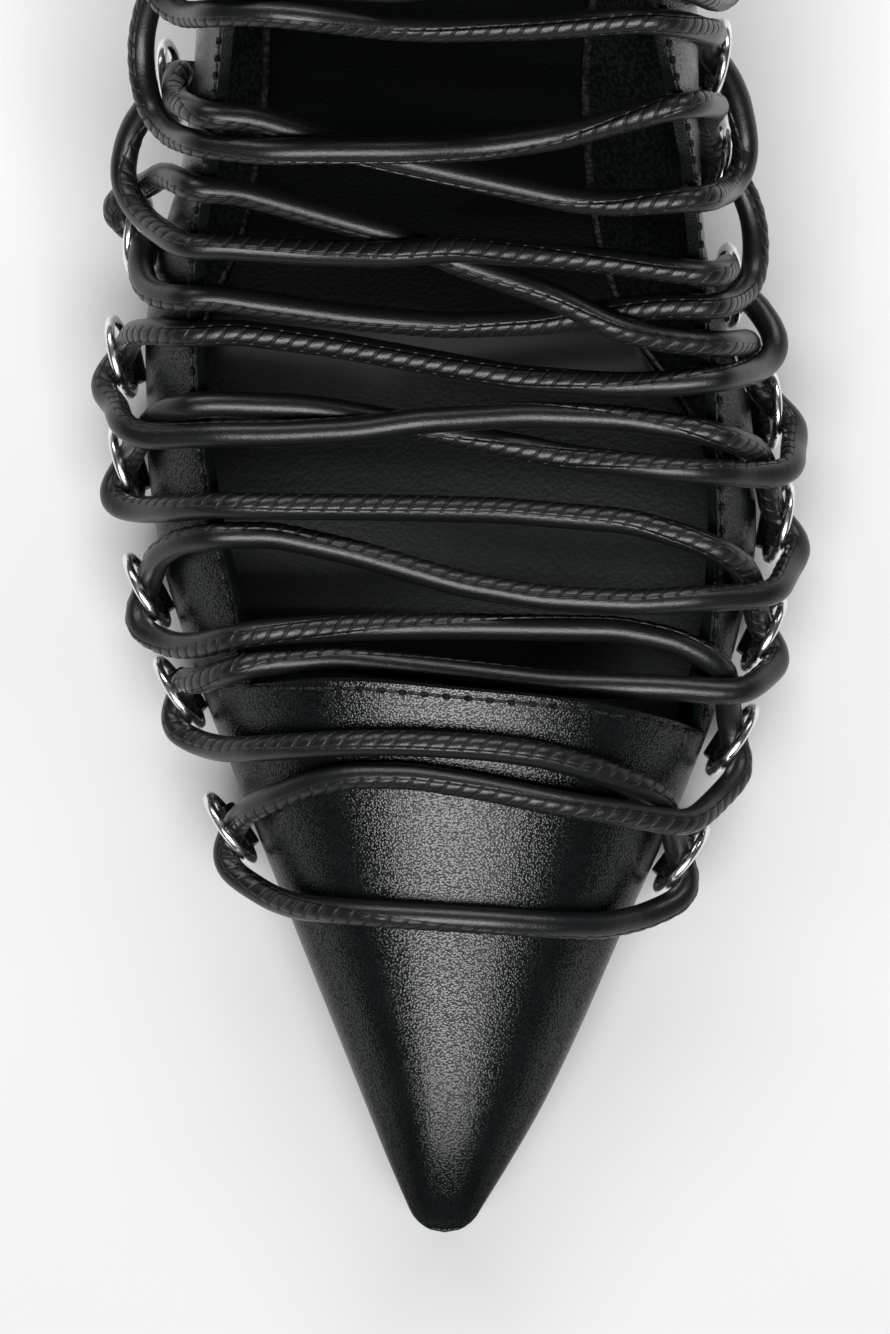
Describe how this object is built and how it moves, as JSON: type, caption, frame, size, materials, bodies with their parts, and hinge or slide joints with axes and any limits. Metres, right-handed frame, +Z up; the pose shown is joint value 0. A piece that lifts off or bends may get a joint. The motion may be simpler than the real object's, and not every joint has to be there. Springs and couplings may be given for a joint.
{
  "type": "lace up heel",
  "caption": "Black leather pointed-toe pump on a slim high heel, laced across its open top by one round leather cord that zigzags through metal rings standing along both sole edges.",
  "frame": {"origin": "on the floor under the middle of the forefoot tread, where the sole rests 80 mm behind the toe tip", "axes": "+Z up from the floor, -Y towards the toe, +Y towards the heel, +X towards the inner (medial) side of the foot"},
  "size_m": [0.0977, 0.238, 0.1385],
  "materials": {
    "black_leather": "smooth, semi-gloss, finely grained",
    "dark_lining": "satin",
    "black_sole": "satin",
    "black_rubber": "matte",
    "polished_steel": "polished"
  },
  "bodies": {
    "root": {"upper": "black_leather", "insole": "dark_lining", "outsole": "black_sole", "heel": "black_leather", "top_piece": "black_rubber", "lace": "black_leather", "ring_lateral_1": "polished_steel", "tab_lateral_1": "black_leather", "ring_lateral_2": "polished_steel", "tab_lateral_2": "black_leather", "ring_lateral_3": "polished_steel", "tab_lateral_3": "black_leather", "ring_lateral_4": "polished_steel", "tab_lateral_4": "black_leather", "ring_lateral_5": "polished_steel", "tab_lateral_5": "black_leather", "ring_lateral_6": "polished_steel", "tab_lateral_6": "black_leather", "ring_lateral_7": "polished_steel", "tab_lateral_7": "black_leather", "ring_lateral_8": "polished_steel", "tab_lateral_8": "black_leather", "ring_lateral_9": "polished_steel", "tab_lateral_9": "black_leather", "ring_medial_1": "polished_steel", "tab_medial_1": "black_leather", "ring_medial_2": "polished_steel", "tab_medial_2": "black_leather", "ring_medial_3": "polished_steel", "tab_medial_3": "black_leather", "ring_medial_4": "polished_steel", "tab_medial_4": "black_leather", "ring_medial_5": "polished_steel", "tab_medial_5": "black_leather", "ring_medial_6": "polished_steel", "tab_medial_6": "black_leather", "ring_medial_7": "polished_steel", "tab_medial_7": "black_leather", "ring_medial_8": "polished_steel", "tab_medial_8": "black_leather", "ring_medial_9": "polished_steel", "tab_medial_9": "black_leather"}
  },
  "joints": []
}
